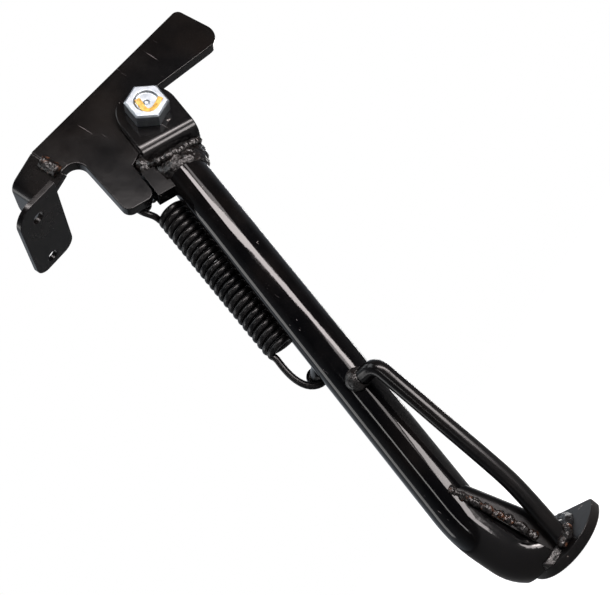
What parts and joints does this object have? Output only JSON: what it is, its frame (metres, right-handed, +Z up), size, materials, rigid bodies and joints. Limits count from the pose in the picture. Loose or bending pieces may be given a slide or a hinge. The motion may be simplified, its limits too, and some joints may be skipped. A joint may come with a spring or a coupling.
{
  "type": "motorcycle side stand",
  "caption": "Side stand: a flat pivot plate with a fixing tab, and a sprung tube leg with a round foot and a toe rod that swings about a hex bolt.",
  "frame": {"origin": "middle of the two fixing holes, on the under face of the fixing tab", "axes": "+Z up on the machine, +X forward along the pivot plate's tongue, -Y the outer side, where the pivot bolt's head is; the leg is stored against its stop"},
  "size_m": [0.1564, 0.0723, 0.3019],
  "materials": {
    "black_paint": "gloss",
    "weld_metal": "satin, rough beads",
    "bush_steel": "turned",
    "zinc_plate": "bright zinc",
    "spring_black": "gloss"
  },
  "bodies": {
    "plate": {"pivot_plate": "black_paint", "pivot_bush": "bush_steel", "back_flange": "black_paint", "fixing_tab": "black_paint", "flange_weld": "weld_metal", "tab_weld": "weld_metal", "spring_pin": "black_paint"},
    "leg": {"fork": "black_paint", "fork_weld": "weld_metal", "stop_block": "black_paint", "leg_tube": "black_paint", "tube_end_plug": "black_paint", "gusset": "black_paint", "gusset_weld": "weld_metal", "foot_plate": "black_paint", "foot_weld": "weld_metal", "toe_rod": "black_paint", "rod_top_weld": "weld_metal", "spring_post": "black_paint", "pivot_bolt": "zinc_plate", "nut_washer": "zinc_plate", "lock_nut": "zinc_plate"},
    "spring_top": {"return_spring": "spring_black"},
    "spring_foot": {"spring_end_hook": "spring_black"}
  },
  "joints": [
    {"name": "leg_swing", "type": "hinge", "parent": "plate", "child": "leg", "pos_m": [0.073, -0.022, -0.008], "axis": [0, -1, 0], "range_deg": [0, 80], "stiffness_Nm_per_rad": 3, "springref_deg": -40.11},
    {"name": "spring_turn", "type": "hinge", "parent": "plate", "child": "spring_top", "pos_m": [0.03843, -0.0125, -0.02989], "axis": [0, -1, 0], "range_deg": [0, 82], "deforming": ["return_spring"]},
    {"name": "spring_stretch", "type": "slide", "parent": "spring_top", "child": "spring_foot", "axis": [-0.1901, 0, -0.9818], "range_m": [0, 0.0535], "deforming": ["spring_end_hook"]}
  ],
  "couplings": [
    {"joint": "spring_turn", "follows": "leg_swing", "ratio": 1.0126},
    {"joint": "spring_stretch", "follows": "leg_swing", "m_per_rad": 0.03763}
  ]
}
